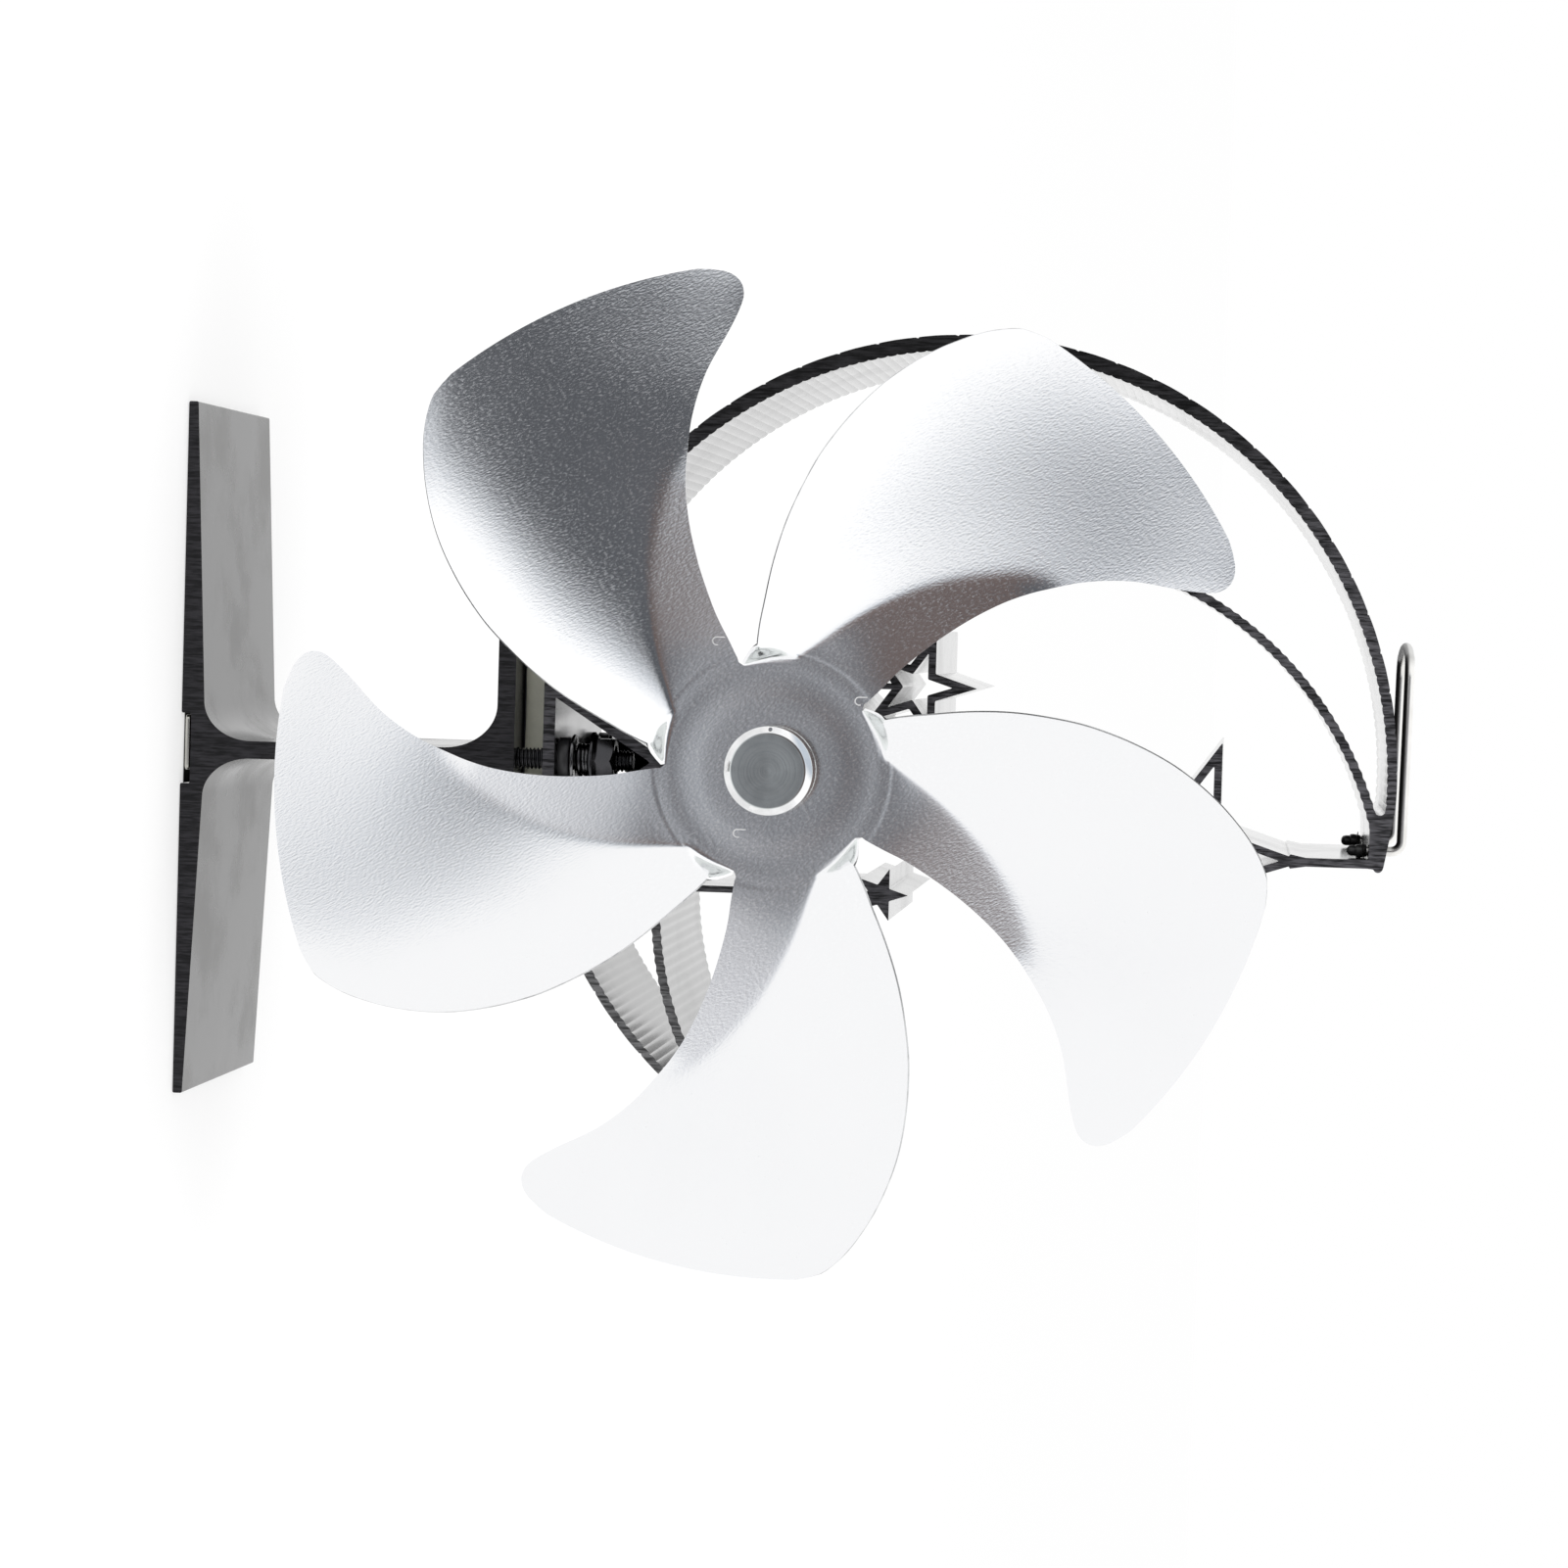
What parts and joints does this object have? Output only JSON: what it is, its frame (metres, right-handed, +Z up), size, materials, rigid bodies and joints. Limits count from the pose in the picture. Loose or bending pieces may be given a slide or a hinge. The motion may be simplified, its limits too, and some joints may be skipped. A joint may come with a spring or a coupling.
{
  "type": "stove fan",
  "caption": "Heat-driven stove fan: extruded foot and moon and stars heat sink, thermoelectric module, small motor and pressed blades, with a wire handle.",
  "frame": {"origin": "on the surface that the foot stands on, under the middle of the whole fan's width and depth", "axes": "+X to the right as seen from the front, +Y away from somebody in front of the blades, along the rotor's shaft, +Z up"},
  "size_m": [0.18, 0.0889, 0.2259],
  "materials": {
    "black_anodised": "black anodised aluminium, long faces glossy, ends sawn",
    "pressed_aluminium": "satin rolled aluminium sheet",
    "turned_aluminium": "turned and polished",
    "polished_steel": "polished stainless steel",
    "bright_steel": "plated steel",
    "dark_steel": "blackened steel",
    "bimetal": "bare bimetal sheet",
    "insulator": "heat-proof moulded plastic",
    "ceramic": "white fired ceramic",
    "graphite": "soft graphite sheet",
    "pellet_alloy": "sawn thermoelectric alloy",
    "sealant": "cream sealing compound",
    "motor_steel": "zinc plated",
    "black_plastic": "moulded",
    "magnet": "ferrite",
    "core_steel": "stacked laminations",
    "copper": "enamelled copper",
    "carbon": "pressed carbon",
    "bronze": "sintered bronze",
    "terminal_metal": "tinned brass",
    "shaft_steel": "ground steel"
  },
  "bodies": {
    "stand": {"base_extrusion": "black_anodised", "bimetal_rivet": "bright_steel", "brush_left": "carbon", "brush_right": "carbon", "clamp_bush_front": "insulator", "clamp_bush_rear": "insulator", "clamp_nut_front": "dark_steel", "clamp_nut_rear": "dark_steel", "clamp_spring_front": "dark_steel", "clamp_spring_rear": "dark_steel", "clamp_stud_front": "dark_steel", "clamp_stud_rear": "dark_steel", "clamp_washer_front": "bright_steel", "clamp_washer_rear": "bright_steel", "front_bush": "bronze", "generator_cold_plate": "ceramic", "generator_hot_plate": "ceramic", "generator_pellets": "pellet_alloy", "generator_seal": "sealant", "handle_clip_front": "dark_steel", "handle_clip_rear": "dark_steel", "handle_wire": "polished_steel", "heat_sink": "black_anodised", "lower_graphite_pad": "graphite", "magnet_left": "magnet", "magnet_right": "magnet", "motor_can": "motor_steel", "motor_end_cap": "black_plastic", "motor_terminal_left": "terminal_metal", "motor_terminal_right": "terminal_metal", "rear_bush": "bronze", "upper_graphite_pad": "graphite"},
    "rotor": {"fan_blades": "pressed_aluminium", "hub_boss": "turned_aluminium", "hub_washer": "turned_aluminium", "hub_grub_screw": "dark_steel", "motor_shaft": "shaft_steel", "armature_core": "core_steel", "winding_1": "copper", "winding_2": "copper", "winding_3": "copper", "commutator": "copper"},
    "strip": {"bimetal_strip": "bimetal"}
  },
  "joints": [
    {"name": "rotor_spin", "type": "hinge", "parent": "stand", "child": "rotor", "pos_m": [0, -0.035, 0.112], "axis": [0, 1, 0], "continuous": true},
    {"name": "strip_bend", "type": "hinge", "parent": "stand", "child": "strip", "pos_m": [0, 0.03835, 0.00115], "axis": [1, 0, 0], "range_deg": [0, 2], "stiffness_Nm_per_rad": 0.8, "springref_deg": -0.11}
  ]
}
